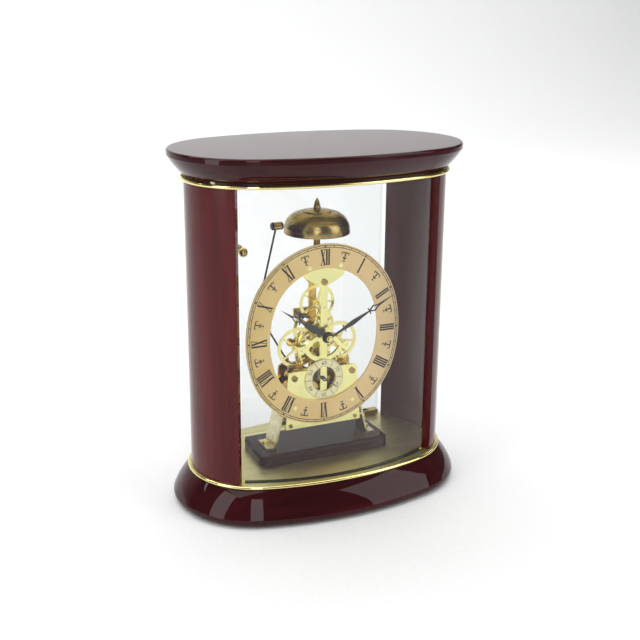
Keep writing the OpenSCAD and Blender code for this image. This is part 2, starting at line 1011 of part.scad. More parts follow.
module pinion(p, n, m, turn, d, t) {
    translate([p[0], p[1], d])
        rotate([0, 0, turn])
            linear_extrude(t)
                teeth(n, m);
}

// Arbor at p between depths d0 and d1, with a thin pivot at each end.
module arbor(p, d0, d1, r = 1) {
    bar(p, d0, d1, r);
    bar(p, d0 - 1.9, d1 + 1.9, 0.6);
}

module centre_arbor() {
    color([0.85, 0.75, 0.4])
        upright() {
            bar(c_pos, bp_f + 0.2, 20.6, 1.5);
            bar(c_pos, 20.5, 23.3, 1.2);
            bar(c_pos, bp_b, bp_f + 0.3, 0.8);
            wheel(c_pos, n_cw, m_c, ph_c, d_c, 5);
            pinion(c_pos, n_cp, m_r, ph_c, d_r - 0.2, 1.4);
            pinion(c_pos, n_can, m_h, ph_c, d_m - 0.2, 1.2);
        }
}

module hour_wheel() {
    color([0.9, 0.8, 0.45])
        upright()
            difference() {
                union() {
                    wheel(c_pos, n_hw, m_h, ph_h, d_h, 4, 1, 3.4);
                    bar(c_pos, d_h, fp_f, 2.6);
                    bar(c_pos, d_h, 19.4, 2.2);
                }
                bar(c_pos, d_h - 1, 20, 1.5 + fit);
            }
}

module minute_wheel() {
    color([0.9, 0.8, 0.45])
        upright() {
            wheel(m_pos, n_mw, m_h, ph_m, d_m, 4, 1, 2);
            pinion(m_pos, n_mp, m_h, ph_m, d_m + 0.5, 2.2);
            bar(m_pos, d_m - 0.4, fp_f, 0.6);
        }
}

module right_wheel() {
    color([0.9, 0.8, 0.45])
        upright() {
            wheel(r_pos, n_rw, m_r, ph_r, d_r, 5);
            pinion(r_pos, n_rp, m_1, ph_r, d_1 - 0.2, 1.4);
            arbor(r_pos, bp_f + 0.2, fp_b - 0.2);
        }
}

module left_wheel() {
    color([0.9, 0.8, 0.45])
        upright() {
            wheel(l_pos, n_lw, m_l, 0, d_l, 5);
            pinion(l_pos, n_lp, m_1, 0, d_l - 1.7, 1.4);
            arbor(l_pos, bp_f + 0.2, fp_b - 0.2);
        }
}

module second_wheel() {
    color([0.85, 0.75, 0.4])
        upright() {
            wheel(a1_pos, n_1w, m_1, ph_1, d_1, 5);
            pinion(a1_pos, n_1p, m_g, ph_1, 6.3, 1.2);
            arbor(a1_pos, bp_f + 0.2, fp_b - 0.2);
        }
}

module third_wheel() {
    color([0.9, 0.8, 0.45])
        upright() {
            wheel(a2_pos, n_3w, m_3, ph_3p, d_3, 5);
            pinion(a2_pos, n_3p, m_c, ph_3p, d_c - 0.2, 1.4);
            arbor(a2_pos, bp_f + 0.2, fp_b - 0.2, 0.8);
        }
}

module seconds_arbor() {
    color([0.9, 0.8, 0.45])
        upright() {
            pinion(s_pos, n_sp, m_3, ph_sp, d_3 - 0.2, 1.4);
            translate([s_pos[0], s_pos[1], 3.9])
                linear_extrude(0.6)
                    teeth(15, 0.56);
            bar(s_pos, bridge_f + 0.2, fp_b - 0.2, 1);
            bar(s_pos, d_3, bridge_b - 0.2, 0.8);
            bar(s_pos, d_3, 14.6, 0.6);
        }
}

module seconds_hand() {
    color([0.1, 0.1, 0.1])
        upright()
            translate([s_pos[0], s_pos[1], 13.8])
                difference() {
                    slab(0.5) {
                        circle(r = 1.6);
                        rotate([0, 0, -125])
                            polygon([[-0.8, -4], [-0.25, 11], [0.25, 11], [0.8, -4]]);
                    }
                    translate([0, 0, -1])
                        cylinder(r = 0.62, h = 3);
                }
}

// Spring barrel: drum with lid recesses, and its great wheel when n is given.
module barrel(p, d0, d1, dg, turn) {
    difference() {
        union() {
            bar(p, d0, d1, 14.4);
            translate([p[0], p[1], dg])
                rotate([0, 0, turn])
                    linear_extrude(0.8)
                        teeth(n_gt, m_g);
            bar(p, min(d1, dg), max(d1, dg) + 0.4, 12);
        }
        bar(p, d0 + 0.8, d1 - 0.8, 13.4);
        bar(p, d0 - 1, dg + 3, 2 + fit);
    }
}

module barrel_arbor(p, front) {
    bar(p, -13.5, front, 2);
    bar(p, front - 1, fp_f - 0.1, 1.5);
    translate([p[0], p[1], -17])
        linear_extrude(4)
            square([2.7, 2.7], center = true);
    bar(p, -1.5, 1.5, 5);
}

module time_barrel() {
    color([0.75, 0.62, 0.35])
        upright()
            barrel(bt_pos, -3, 5.6, 6.5, ph_g);
}

module time_arbor() {
    color([0.6, 0.6, 0.6])
        upright()
            barrel_arbor(bt_pos, 10.2);
}

module strike_barrel() {
    color([0.75, 0.62, 0.35])
        upright()
            barrel(bs_pos, -3, 7.8, 8.7, 0);
}

module strike_arbor() {
    color([0.6, 0.6, 0.6])
        upright()
            barrel_arbor(bs_pos, 10.2);
}

module top_wheel() {
    color([0.9, 0.8, 0.45])
        upright() {
            wheel(t_pos, n_tw, m_t, 0, d_r, 5, 1.8);
            arbor(t_pos, bp_f + 0.2, fp_b - 0.2);
        }
}

module fly() {
    color([0.3, 0.22, 0.18])
        upright() {
            pinion(f_pos, n_fp, m_t, ph_f, d_r - 0.2, 1.4);
            bar(f_pos, bp_f + 0.2, 5, 1);
            bar(f_pos, bp_b, bp_f + 0.3, 0.6);
            translate([f_pos[0] - 5.5, f_pos[1] - 0.3, 1.2])
                cube([11, 0.6, 3.6]);
        }
}

module lever() {
    color([0.7, 0.7, 0.72])
        upright()
            translate([v_pos[0], v_pos[1], 0])
                rotate([0, 0, 46]) {
                    translate([0, 0, 3.9])
                        slab(0.6) {
                            translate([-1.2, -0.4])
                                square([5.2, 0.8]);
                            translate([-1.4, -2.6])
                                square([0.9, 5.2]);
                            circle(r = 1.1);
                        }
                    translate([0, 0, bridge_b])
                        cylinder(r = 0.6, h = 4);
                    translate([0, 0, bridge_f + 0.2])
                        cylinder(r = 0.8, h = 2.1);
                }
}

module balance() {
    color([0.9, 0.8, 0.45])
        upright()
            translate([b_pos[0], b_pos[1], 0]) {
                translate([0, 0, 5.2])
                    slab(0.8) {
                        difference() {
                            circle(r = 4.8);
                            circle(r = 3.9);
                        }
                        circle(r = 1.1);
                        translate([-4.3, -0.4])
                            square([8.6, 0.8]);
                    }
                for (r = [1.4, 2.2, 3])
                    translate([0, 0, 7.6])
                        difference() {
                            cylinder(r = r + 0.12, h = 0.4);
                            translate([0, 0, -1])
                                cylinder(r = r - 0.12, h = 3);
                        }
                translate([-0.1, 0, 7.6])
                    cube([0.2, 3.1, 0.4]);
                translate([0, 0, bridge_b])
                    cylinder(r = 0.6, h = fp_f - bridge_b);
                translate([0, 0, bridge_f + 0.2])
                    cylinder(r = 0.8, h = fp_b - bridge_f - 0.4);
            }
}

// ---- Hammer ----

module rod(p, q, r) {
    v = q - p;
    translate([p[0], p[1], hammer_d])
        rotate([0, 0, atan2(v[1], v[0])])
            rotate([0, 90, 0])
                cylinder(r = r, h = norm(v));
}

module hammer_head() {
    color([0.7, 0.55, 0.25])
        translate([head_x, bell_y, head_z])
            rotate([0, 90, 0])
                difference() {
                    rotate_extrude()
                        polygon([[0, 0], [2, 0], [2.8, 0.8], [2.8, 8], [2, 8.8], [0, 8.8]]);
                    translate([0, 0, wire_top[0] - head_x])
                        rotate([0, 90 + head_lean, 0])
                            translate([0, 0, -0.1])
                                cylinder(r = 0.75, h = 4.1);
                }
}

module hammer_wire() {
    color([0.08, 0.08, 0.08])
        upright() {
            rod(h_pos, elbow, 0.7);
            rod(elbow, wire_top, 0.7);
            bar(elbow, hammer_d - 0.8, hammer_d + 0.8, 0.8);
        }
}

module hammer_arbor() {
    color([0.7, 0.6, 0.35])
        upright()
            difference() {
                union() {
                    bar(h_pos, bp_f + 0.2, bridge_b - 0.2, 1);
                    bar(h_pos, bp_b, bridge_f, 0.6);
                    bar(h_pos, -3.2, 0.2, 2.4);
                }
                rod(h_pos, elbow, 0.72);
            }
}

base();
base_pads();
floor_plate();
side_panel_left();
side_panel_right();
front_glass();
top_plate();
top_board();
panel_screws();
plinth_screws();
top_screws();
board_screws();
hinge_brackets();
door_catch();
door_glass();
door_shoes();
door_knobs();
knob_bolt();
plinth();
leg_left();
leg_right();
foot_screws();
plate_screws();
front_plate();
back_plate();
top_pillar();
bridge_pillars();
bridge();
dial_ring();
dial_rivets();
seconds_ring();
bell();
bell_post();
bell_nut();
minute_hand();
hand_nut();
centre_arbor();
hour_hand();
hour_wheel();
minute_wheel();
right_wheel();
left_wheel();
second_wheel();
third_wheel();
seconds_arbor();
seconds_hand();
time_barrel();
time_arbor();
strike_barrel();
strike_arbor();
top_wheel();
fly();
lever();
balance();
hammer_head();
hammer_wire();
hammer_arbor();
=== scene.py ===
"""Mantel clock: finishes for every CAD node, the print on both dials, the studio and the camera."""

import math

import bmesh
import bpy
from mathutils import Matrix, Vector


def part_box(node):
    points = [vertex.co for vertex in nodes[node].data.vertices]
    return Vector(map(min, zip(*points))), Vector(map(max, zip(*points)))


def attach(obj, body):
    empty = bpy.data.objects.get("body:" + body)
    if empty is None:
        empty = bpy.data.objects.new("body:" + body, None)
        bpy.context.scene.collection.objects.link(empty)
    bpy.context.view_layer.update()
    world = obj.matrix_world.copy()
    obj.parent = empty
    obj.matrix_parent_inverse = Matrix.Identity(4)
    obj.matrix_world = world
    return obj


MM = 0.001

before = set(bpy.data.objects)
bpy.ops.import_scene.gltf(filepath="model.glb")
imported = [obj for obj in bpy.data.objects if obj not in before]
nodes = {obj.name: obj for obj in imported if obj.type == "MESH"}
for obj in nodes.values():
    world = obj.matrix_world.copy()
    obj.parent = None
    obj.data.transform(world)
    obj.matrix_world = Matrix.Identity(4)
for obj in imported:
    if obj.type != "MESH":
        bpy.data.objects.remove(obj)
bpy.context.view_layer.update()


# ---- Material building ----


class Finish:
    """A material round one Principled shader, with short calls that add nodes and join them."""

    def __init__(self, name, **inputs):
        self.material = bpy.data.materials.new(name)
        self.material.use_nodes = True
        self.tree = self.material.node_tree
        self.shader = self.tree.nodes["Principled BSDF"]
        self.output = self.tree.nodes["Material Output"]
        for key, value in inputs.items():
            self.shader.inputs[key.replace("_", " ")].default_value = value

    def add(self, kind, **properties):
        node = self.tree.nodes.new(kind)
        for key, value in properties.items():
            setattr(node, key, value)
        return node

    def join(self, source, target):
        self.tree.links.new(source, target)

    def place(self, scale=(1, 1, 1)):
        """Object coordinates in metres, scaled."""
        where = self.add("ShaderNodeTexCoord")
        mapping = self.add("ShaderNodeMapping")
        mapping.inputs["Scale"].default_value = scale
        self.join(where.outputs["Object"], mapping.inputs["Vector"])
        return mapping.outputs["Vector"]

    def noise(self, scale, detail=4.0, rough=0.55, distortion=0.0):
        """Noise in cycles per metre; scale is one number, or one for each axis."""
        if isinstance(scale, float):
            scale = (scale, scale, scale)
        tex = self.add("ShaderNodeTexNoise")
        tex.inputs["Scale"].default_value = 1.0
        tex.inputs["Detail"].default_value = detail
        tex.inputs["Roughness"].default_value = rough
        tex.inputs["Distortion"].default_value = distortion
        self.join(self.place(scale), tex.inputs["Vector"])
        return tex.outputs["Fac"]

    def span(self, value, low, high, start=0.3, end=0.7):
        """The value from start to end spread over low to high."""
        node = self.add("ShaderNodeMapRange")
        node.inputs["From Min"].default_value = start
        node.inputs["From Max"].default_value = end
        node.inputs["To Min"].default_value = low
        node.inputs["To Max"].default_value = high
        self.join(value, node.inputs["Value"])
        return node.outputs["Result"]

    def ramp(self, value, *stops):
        """Colour ramp over (position, colour) stops."""
        node = self.add("ShaderNodeValToRGB")
        band = node.color_ramp
        while len(band.elements) < len(stops):
            band.elements.new(0.5)
        for element, (position, colour) in zip(band.elements, stops):
            element.position = position
            element.color = (*colour, 1)
        self.join(value, node.inputs["Fac"])
        return node.outputs["Color"]

    def mix(self, share, a, b):
        """Colour a where share is 0 and b where it is 1; either is a socket or a plain colour."""
        node = self.add("ShaderNodeMix", data_type="RGBA")
        self.join(share, node.inputs["Factor"])
        for socket, colour in ((node.inputs[6], a), (node.inputs[7], b)):
            if isinstance(colour, tuple):
                socket.default_value = (*colour, 1)
            else:
                self.join(colour, socket)
        return node.outputs[2]

    def bump(self, height, strength, distance):
        node = self.add("ShaderNodeBump")
        node.inputs["Strength"].default_value = strength
        node.inputs["Distance"].default_value = distance
        self.join(height, node.inputs["Height"])
        self.join(node.outputs["Normal"], self.shader.inputs["Normal"])

    def colour(self, socket):
        self.join(socket, self.shader.inputs["Base Color"])

    def roughness(self, socket):
        self.join(socket, self.shader.inputs["Roughness"])


def lacquered_wood(name, along, dark, mid, light):
    """Dark mahogany under a thick polished lacquer; along is the grain's axis, 0 to 2."""
    finish = Finish(
        name, Coat_Weight=1.0, Coat_Roughness=0.03, Coat_IOR=1.32, Specular_IOR_Level=0.0
    )
    grain_scale = [95.0, 95.0, 95.0]
    grain_scale[along] = 7.0
    pore_scale = [900.0, 900.0, 900.0]
    pore_scale[along] = 30.0
    grain = finish.noise(grain_scale, 6.0, 0.6, 0.6)
    pores = finish.noise(pore_scale, 2.0, 0.5)
    broad = finish.ramp(grain, (0.30, dark), (0.50, mid), (0.72, light))
    finish.colour(finish.mix(finish.span(pores, 0.0, 0.4, 0.62, 0.75), broad, dark))
    finish.roughness(finish.span(grain, 0.30, 0.42))
    finish.bump(finish.noise(60.0, 1.0, 0.4), 0.004, 0.0004)
    return finish.material


def brass(name, dark, light, rough, grain=260.0, scratch=0.02):
    """Polished brass: clouds of colour, fine rubbing marks in the gloss, edges a little lighter."""
    finish = Finish(name, Metallic=1.0)
    clouds = finish.noise(70.0, 3.0)
    marks = finish.noise(grain, 3.0, 0.6)
    body = finish.ramp(clouds, (0.3, dark), (0.7, light))
    edge = finish.add("ShaderNodeNewGeometry").outputs["Pointiness"]
    pale = tuple(min(1.0, c * 1.12 + 0.03) for c in light)
    finish.colour(finish.mix(finish.span(edge, 0.0, 0.6, 0.52, 0.62), body, pale))
    finish.roughness(finish.span(marks, rough * 0.75, rough * 1.35))
    finish.bump(marks, scratch, 0.0001)
    return finish.material


def tipped_brass(name, left, right):
    """Dark brass with black faces beyond two places on X, in metres."""
    finish = Finish(name, Metallic=1.0)
    marks = finish.noise(260.0, 3.0, 0.6)
    parts = finish.add("ShaderNodeSeparateXYZ")
    finish.join(finish.place(), parts.inputs["Vector"])
    ends = finish.add("ShaderNodeMath", operation="COMPARE")
    finish.join(parts.outputs["X"], ends.inputs[0])
    ends.inputs[1].default_value = (left + right) / 2
    ends.inputs[2].default_value = (right - left) / 2
    body = finish.ramp(marks, (0.3, (0.42, 0.27, 0.07)), (0.7, (0.66, 0.46, 0.15)))
    finish.colour(finish.mix(ends.outputs[0], (0.02, 0.018, 0.016), body))
    finish.roughness(finish.span(marks, 0.14, 0.26))
    finish.bump(marks, 0.02, 0.0001)
    return finish.material


def brushed_plate(name):
    """The two case plates: brushed along X on their flat faces, polished on the round edge."""
    finish = Finish(name, Metallic=1.0)
    lines = finish.noise((14.0, 1500.0, 1500.0), 4.0, 0.7)
    streaks = finish.noise((5.0, 260.0, 260.0), 3.0, 0.6)
    normal = finish.add("ShaderNodeNewGeometry").outputs["True Normal"]
    parts = finish.add("ShaderNodeSeparateXYZ")
    finish.join(normal, parts.inputs["Vector"])
    upright = finish.add("ShaderNodeMath", operation="ABSOLUTE")
    finish.join(parts.outputs["Z"], upright.inputs[0])
    flat = finish.span(upright.outputs[0], 0.0, 1.0, 0.95, 0.995)
    brushed = finish.ramp(streaks, (0.25, (0.70, 0.62, 0.29)), (0.75, (0.87, 0.79, 0.42)))
    finish.colour(finish.mix(flat, (0.93, 0.80, 0.34), brushed))
    rough = finish.add("ShaderNodeMath", operation="MULTIPLY_ADD")
    finish.join(flat, rough.inputs[0])
    finish.join(finish.span(lines, 0.20, 0.38), rough.inputs[1])
    rough.inputs[2].default_value = 0.10
    finish.roughness(rough.outputs[0])
    height = finish.add("ShaderNodeMath", operation="MULTIPLY")
    finish.join(lines, height.inputs[0])
    finish.join(flat, height.inputs[1])
    finish.bump(height.outputs[0], 0.25, 0.00004)
    return finish.material


def dial_gold(name):
    """Satin gold with fine upright brushing, and painted shade across it: darker yellow on the
    left, lighter peach on the right.
    """
    finish = Finish(name, Metallic=0.35, Coat_Weight=0.25, Coat_Roughness=0.25)
    clouds = finish.noise(45.0, 2.0)
    lines = finish.noise((1800.0, 1800.0, 40.0), 3.0, 0.6)
    across = finish.add("ShaderNodeSeparateXYZ")
    finish.join(finish.place(), across.inputs["Vector"])
    # Painted shade from left to right: the left half darker yellow, the right half lighter peach.
    side = finish.span(across.outputs["X"], 0.0, 1.0, -0.06, 0.06)
    yellow = finish.ramp(clouds, (0.3, (0.88, 0.61, 0.20)), (0.7, (0.95, 0.69, 0.26)))
    peach = finish.ramp(clouds, (0.3, (0.94, 0.67, 0.34)), (0.7, (0.99, 0.74, 0.41)))
    finish.colour(finish.mix(side, yellow, peach))
    finish.roughness(finish.span(lines, 0.34, 0.50))
    finish.bump(lines, 0.10, 0.00003)
    return finish.material


def antique_bell(name):
    """Spun bell metal: darkened in clouds, with turned rings that run round it."""
    finish = Finish(name, Metallic=1.0)
    clouds = finish.noise((80.0, 80.0, 120.0), 5.0, 0.65, 0.4)
    rings = finish.noise((3.0, 3.0, 1600.0), 3.0, 0.6)
    patina = finish.ramp(
        clouds,
        (0.28, (0.16, 0.105, 0.035)),
        (0.50, (0.42, 0.30, 0.105)),
        (0.72, (0.62, 0.47, 0.19)),
    )
    finish.colour(patina)
    finish.roughness(finish.span(rings, 0.16, 0.34))
    finish.bump(rings, 0.12, 0.00005)
    return finish.material


def black_steel(name):
    """Satin black enamel on steel, faintly uneven."""
    finish = Finish(name, Coat_Weight=0.4, Coat_Roughness=0.18)
    clouds = finish.noise(300.0, 3.0)
    finish.colour(finish.ramp(clouds, (0.3, (0.006, 0.006, 0.008)), (0.7, (0.018, 0.018, 0.022))))
    finish.roughness(finish.span(clouds, 0.28, 0.42))
    finish.bump(finish.noise(2500.0, 2.0), 0.05, 0.00003)
    return finish.material


def turned_steel(name):
    """Bare steel with fine turning marks."""
    finish = Finish(name, Metallic=1.0)
    marks = finish.noise((60.0, 2200.0, 2200.0), 3.0)
    clouds = finish.noise(150.0, 3.0)
    finish.colour(finish.ramp(clouds, (0.3, (0.40, 0.40, 0.42)), (0.7, (0.62, 0.62, 0.63))))
    finish.roughness(finish.span(marks, 0.20, 0.36))
    finish.bump(marks, 0.06, 0.00003)
    return finish.material


def dull(name, dark, light, rough, grit):
    """Matt rubber or plastic with a fine grit."""
    finish = Finish(name)
    speck = finish.noise(grit, 4.0)
    finish.colour(finish.ramp(speck, (0.3, dark), (0.7, light)))
    finish.roughness(finish.span(speck, rough - 0.08, rough + 0.08))
    finish.bump(speck, 0.3, 0.0001)
    return finish.material


def clear_glass(name, tint):
    """Clear pane: Fresnel reflection on its front, faint smears, and a tint at grazing angles."""
    finish = Finish(name)
    finish.tree.nodes.remove(finish.shader)
    smears = finish.noise((18.0, 18.0, 9.0), 4.0, 0.7, 1.0)
    gloss = finish.add("ShaderNodeBsdfGlossy")
    gloss.inputs["Color"].default_value = (1, 1, 1, 1)
    finish.join(finish.span(smears, 0.0, 0.03, 0.45, 0.8), gloss.inputs["Roughness"])
    clear = finish.add("ShaderNodeBsdfTransparent")
    facing = finish.add("ShaderNodeLayerWeight")
    facing.inputs["Blend"].default_value = 0.25
    finish.join(
        finish.mix(facing.outputs["Facing"], (0.955, 0.96, 0.96), tint), clear.inputs["Color"]
    )
    fresnel = finish.add("ShaderNodeFresnel")
    fresnel.inputs["IOR"].default_value = 1.5
    pane = finish.add("ShaderNodeMixShader")
    front = finish.add("ShaderNodeMath", operation="SUBTRACT")
    front.inputs[0].default_value = 1.0
    finish.join(finish.add("ShaderNodeNewGeometry").outputs["Backfacing"], front.inputs[1])
    share = finish.add("ShaderNodeMath", operation="MULTIPLY")
    finish.join(fresnel.outputs["Fac"], share.inputs[0])
    finish.join(front.outputs[0], share.inputs[1])
    finish.join(share.outputs[0], pane.inputs["Fac"])
    finish.join(clear.outputs["BSDF"], pane.inputs[1])
    finish.join(gloss.outputs["BSDF"], pane.inputs[2])
    finish.join(pane.outputs["Shader"], finish.output.inputs["Surface"])
    return finish.material


def ink(name):
    """Printed black ink, a little uneven and slightly glossy."""
    finish = Finish(name)
    speck = finish.noise(900.0, 3.0)
    finish.colour(finish.ramp(speck, (0.3, (0.006, 0.005, 0.004)), (0.7, (0.014, 0.011, 0.009))))
    finish.roughness(finish.span(speck, 0.35, 0.5))
    return finish.material


# ---- Finishes on the CAD nodes ----

wood_upright = lacquered_wood(
    "mahogany_upright", 2, (0.055, 0.0050, 0.0070), (0.080, 0.0070, 0.0090), (0.105, 0.0095, 0.0120)
)
wood_across = lacquered_wood(
    "mahogany_across", 0, (0.024, 0.0034, 0.0048), (0.036, 0.0046, 0.0062), (0.052, 0.0062, 0.0080)
)
plate_brass = brushed_plate("brushed_brass_plate")
pale_brass = brass("pale_brass", (0.88, 0.74, 0.27), (0.99, 0.87, 0.38), 0.19)
wheel_brass = brass("wheel_brass", (0.76, 0.61, 0.19), (0.93, 0.80, 0.35), 0.13)
# The front plate's brass, made darker and more orange as painted shade for the parts behind it.
warm_brass = brass("warm_brass", (0.40, 0.24, 0.06), (0.66, 0.45, 0.14), 0.15)
leg_brass = brass("leg_brass", (0.64, 0.56, 0.33), (0.72, 0.64, 0.39), 0.28, scratch=0.004)
knob_brass = brass("knob_brass", (0.70, 0.50, 0.14), (0.86, 0.66, 0.24), 0.20)
ring_brass = brass("ring_brass", (0.72, 0.64, 0.36), (0.84, 0.76, 0.46), 0.30, (2000.0, 60.0, 60.0))
gold = dial_gold("dial_gold")
bell_metal = antique_bell("bell_metal")
enamel = black_steel("black_enamel")
steel = turned_steel("turned_steel")
striker = tipped_brass("striker_brass", -0.0332, -0.028)
rubber = dull("pad_rubber", (0.012, 0.012, 0.012), (0.035, 0.035, 0.035), 0.8, 1200.0)
plastic = dull("catch_plastic", (0.02, 0.02, 0.022), (0.05, 0.05, 0.052), 0.55, 1800.0)
front_pane = clear_glass("front_glass", (0.78, 0.80, 0.80))
door_pane = clear_glass("door_glass", (0.70, 0.78, 0.74))

FINISHES = {
    wood_upright: ["side_panel_left", "side_panel_right"],
    wood_across: ["base", "top_board", "plinth"],
    plate_brass: ["floor_plate", "top_plate"],
    pale_brass: ["front_plate", "dial_rivets", "hand_nut", "foot_screws", "board_screws"],
    wheel_brass: [
        "right_wheel", "left_wheel", "third_wheel", "minute_wheel", "hour_wheel", "top_wheel",
        "second_wheel", "balance", "centre_arbor",
    ],
    # Back plate, pillars, bridge, barrels and hammer arbor: brass darkened and reddened as painted
    # shade.
    warm_brass: [
        "back_plate", "top_pillar", "bridge_pillars", "bridge",
        "time_barrel", "strike_barrel", "hammer_arbor",
    ],
    knob_brass: ["door_knobs", "door_shoes", "hinge_brackets"],
    leg_brass: ["leg_left", "leg_right"],
    ring_brass: ["seconds_ring"],
    striker: ["hammer_head"],
    gold: ["dial_ring"],
    bell_metal: ["bell", "bell_post", "bell_nut", "plate_screws"],
    enamel: ["minute_hand", "hour_hand", "seconds_hand", "hammer_wire", "fly"],
    steel: [
        "panel_screws", "plinth_screws", "top_screws", "knob_bolt", "time_arbor", "strike_arbor",
        "lever", "seconds_arbor",
    ],
    rubber: ["base_pads"],
    plastic: ["door_catch"],
    front_pane: ["front_glass"],
    door_pane: ["door_glass"],
}
for material, names in FINISHES.items():
    for name in names:
        node = nodes[name]
        for slot in node.material_slots:
            slot.material = material
        if not node.material_slots:
            node.data.materials.append(material)


# ---- Building from meshes ----


def mesh_object(name, mesh, material):
    """Scene object made from a bmesh, which is freed."""
    data = bpy.data.meshes.new(name)
    mesh.to_mesh(data)
    mesh.free()
    data.materials.append(material)
    obj = bpy.data.objects.new(name, data)
    bpy.context.scene.collection.objects.link(obj)
    return obj


# ---- Printed dials ----


class Print:
    """Flat ink shapes on an upright face that looks towards -Y, drawn in millimetres."""

    # The ink stands 0.05 proud of the face and reaches 0.01 into it.
    LIFTS = (0.05, -0.01)

    def __init__(self, centre_x, centre_z, face_y):
        self.mesh = bmesh.new()
        self.x, self.z, self.y = centre_x, centre_z, face_y

    def row(self, outline, lift):
        """New vertices for an outline's points, lifted off the face."""
        return [
            self.mesh.verts.new(
                ((self.x + p.x) * MM, (self.y - lift) * MM, (self.z + p.y) * MM)
            )
            for p in outline
        ]

    def shape(self, outline, turn=Matrix.Identity(2), at=Vector((0, 0))):
        """A closed prism on a 2-D outline, turned and moved in the face."""
        flat = [turn @ Vector(p) + at for p in outline]
        area = sum(a.x * b.y - b.x * a.y for a, b in zip(flat, flat[1:] + flat[:1]))
        if area < 0:
            flat.reverse()
        front, back = (self.row(flat, lift) for lift in self.LIFTS)
        self.mesh.faces.new(front)
        self.mesh.faces.new(back[::-1])
        for i, vert in enumerate(front):
            j = (i + 1) % len(front)
            self.mesh.faces.new((vert, back[i], back[j], front[j]))

    def line(self, p, q, wide, turn=Matrix.Identity(2), at=Vector((0, 0))):
        p, q = Vector(p), Vector(q)
        side = (q - p).normalized().orthogonal() * wide / 2
        self.shape([p - side, q - side, q + side, p + side], turn, at)

    def loop(self, inner, outer):
        """A closed band between two outlines with the same number of points."""
        front_in, front_out, back_in, back_out = (
            self.row(outline, lift) for lift in self.LIFTS for outline in (inner, outer)
        )
        for i in range(len(inner)):
            j = (i + 1) % len(inner)
            self.mesh.faces.new((front_in[i], front_out[i], front_out[j], front_in[j]))
            self.mesh.faces.new((back_in[j], back_out[j], back_out[i], back_in[i]))
            self.mesh.faces.new((front_out[i], back_out[i], back_out[j], front_out[j]))
            self.mesh.faces.new((front_in[j], back_in[j], back_in[i], front_in[i]))

    def finish(self, name, material, body):
        bmesh.ops.recalc_face_normals(self.mesh, faces=self.mesh.faces)
        obj = mesh_object(name, self.mesh, material)
        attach(obj, body)


def clockwise(degrees):
    """Unit vector at an angle clockwise from twelve."""
    a = math.radians(degrees)
    return Vector((math.sin(a), math.cos(a)))


def facing_out(direction):
    """Turn that takes a glyph's up to the given direction."""
    return Matrix(((direction.y, direction.x), (-direction.x, direction.y)))


black = ink("dial_ink")

# The dial oval is four arcs, met on lines that rise 0.96 over 0.28, as in the CAD.
RISE = 0.96
RUN = 0.28
low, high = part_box("dial_ring")
dial_x = (low[0] + high[0]) / 2 / MM
dial_z = (low[2] + high[2]) / 2 / MM
half_wide = (high[0] - low[0]) / 2 / MM
half_tall = (high[2] - low[2]) / 2 / MM
arc_gap = (half_tall - half_wide) / (RISE + RUN - 1)
arc_end = half_tall - RUN * arc_gap


def dial_point(degrees, inset):
    """Point on the oval that lies inset within the edge, at an angle clockwise from twelve."""
    way = clockwise(degrees)
    a, b = abs(way.x), abs(way.y)
    up, out = RUN * arc_gap, RISE * arc_gap
    radius = arc_end - inset
    reach = b * up + math.sqrt(radius**2 - (a * up) ** 2)
    if RISE * (b * reach - up) < RUN * a * reach:
        radius += arc_gap
        reach = -a * out + math.sqrt(radius**2 - (b * out) ** 2)
    return way * reach


def dial_loop(inset):
    """The whole oval, a point every 2 degrees."""
    return [dial_point(2 * i, inset) for i in range(180)]


# Millimetres, as everything on the dials; insets are measured from the dial's edge.
THICK_STROKE = 1.25
THIN_STROKE = 0.5
THICK_IN = 0.7
THIN_IN = 0.5
LINE = 0.4
NUMERAL_TALL = 11.2
NUMERAL_INSET = 9.7
MARKER_INSET = 8.8
MARKER_SCALE = 1.25
TRACK_LINES = ((1.4, 0.95), (2.9, 2.45))
TICK_ENDS = (1.2, 2.6)
DOT_INSET = 1.95
DOT_RADIUS = 0.62
NUMERALS = ["XII", "I", "II", "III", "IIII", "V", "VI", "VII", "VIII", "IX", "X", "XI"]
LETTER_WIDE = {"I": 1.75, "V": 3.7, "X": 4.0}


def numeral(dial, text, degrees):
    """Roman numeral with its top outwards: thick and thin strokes between two serif lines."""
    turn = facing_out(clockwise(degrees))
    middle = dial_point(degrees, NUMERAL_INSET)
    wide = sum(LETTER_WIDE[letter] for letter in text)
    top, foot = NUMERAL_TALL / 2, -NUMERAL_TALL / 2
    for edge in (top, foot):
        dial.line((-wide / 2, edge), (wide / 2, edge), LINE, turn, middle)
    x = -wide / 2
    for letter in text:
        w = LETTER_WIDE[letter]
        mid = x + w / 2
        if letter == "I":
            dial.line((mid, top), (mid, foot), THICK_STROKE, turn, middle)
        elif letter == "V":
            dial.line((x + THICK_IN, top), (mid, foot), THICK_STROKE, turn, middle)
            dial.line((x + w - THIN_IN, top), (mid + 0.2, foot), THIN_STROKE, turn, middle)
        else:
            dial.line((x + THICK_IN, top), (x + w - THICK_IN, foot), THICK_STROKE, turn, middle)
            dial.line((x + w - THIN_IN, top), (x + THIN_IN, foot), THIN_STROKE, turn, middle)
        x += w


def half_marker(dial, degrees):
    """Half-hour mark: a tapering stem under a curled cross bar, with a small foot."""
    turn = MARKER_SCALE * facing_out(clockwise(degrees))
    middle = dial_point(degrees, MARKER_INSET)
    dial.shape([(-0.45, 2.2), (0.45, 2.2), (0.16, -2.4), (-0.16, -2.4)], turn, middle)
    dial.line((-0.9, -2.4), (0.9, -2.4), LINE, turn, middle)
    dial.shape([(-2.3, 2.9), (2.3, 2.9), (1.9, 2.3), (-1.9, 2.3)], turn, middle)
    for side in (-1, 1):
        curl = [(2.3, 2.9), (2.55, 1.9), (2.1, 1.1), (1.95, 1.2), (2.05, 2.3)]
        leaf = [(0.35, -0.4), (1.25, 0.35), (1.15, -0.5), (0.3, -1.3)]
        for outline in (curl, leaf):
            dial.shape([(side * x, y) for x, y in outline], turn, middle)


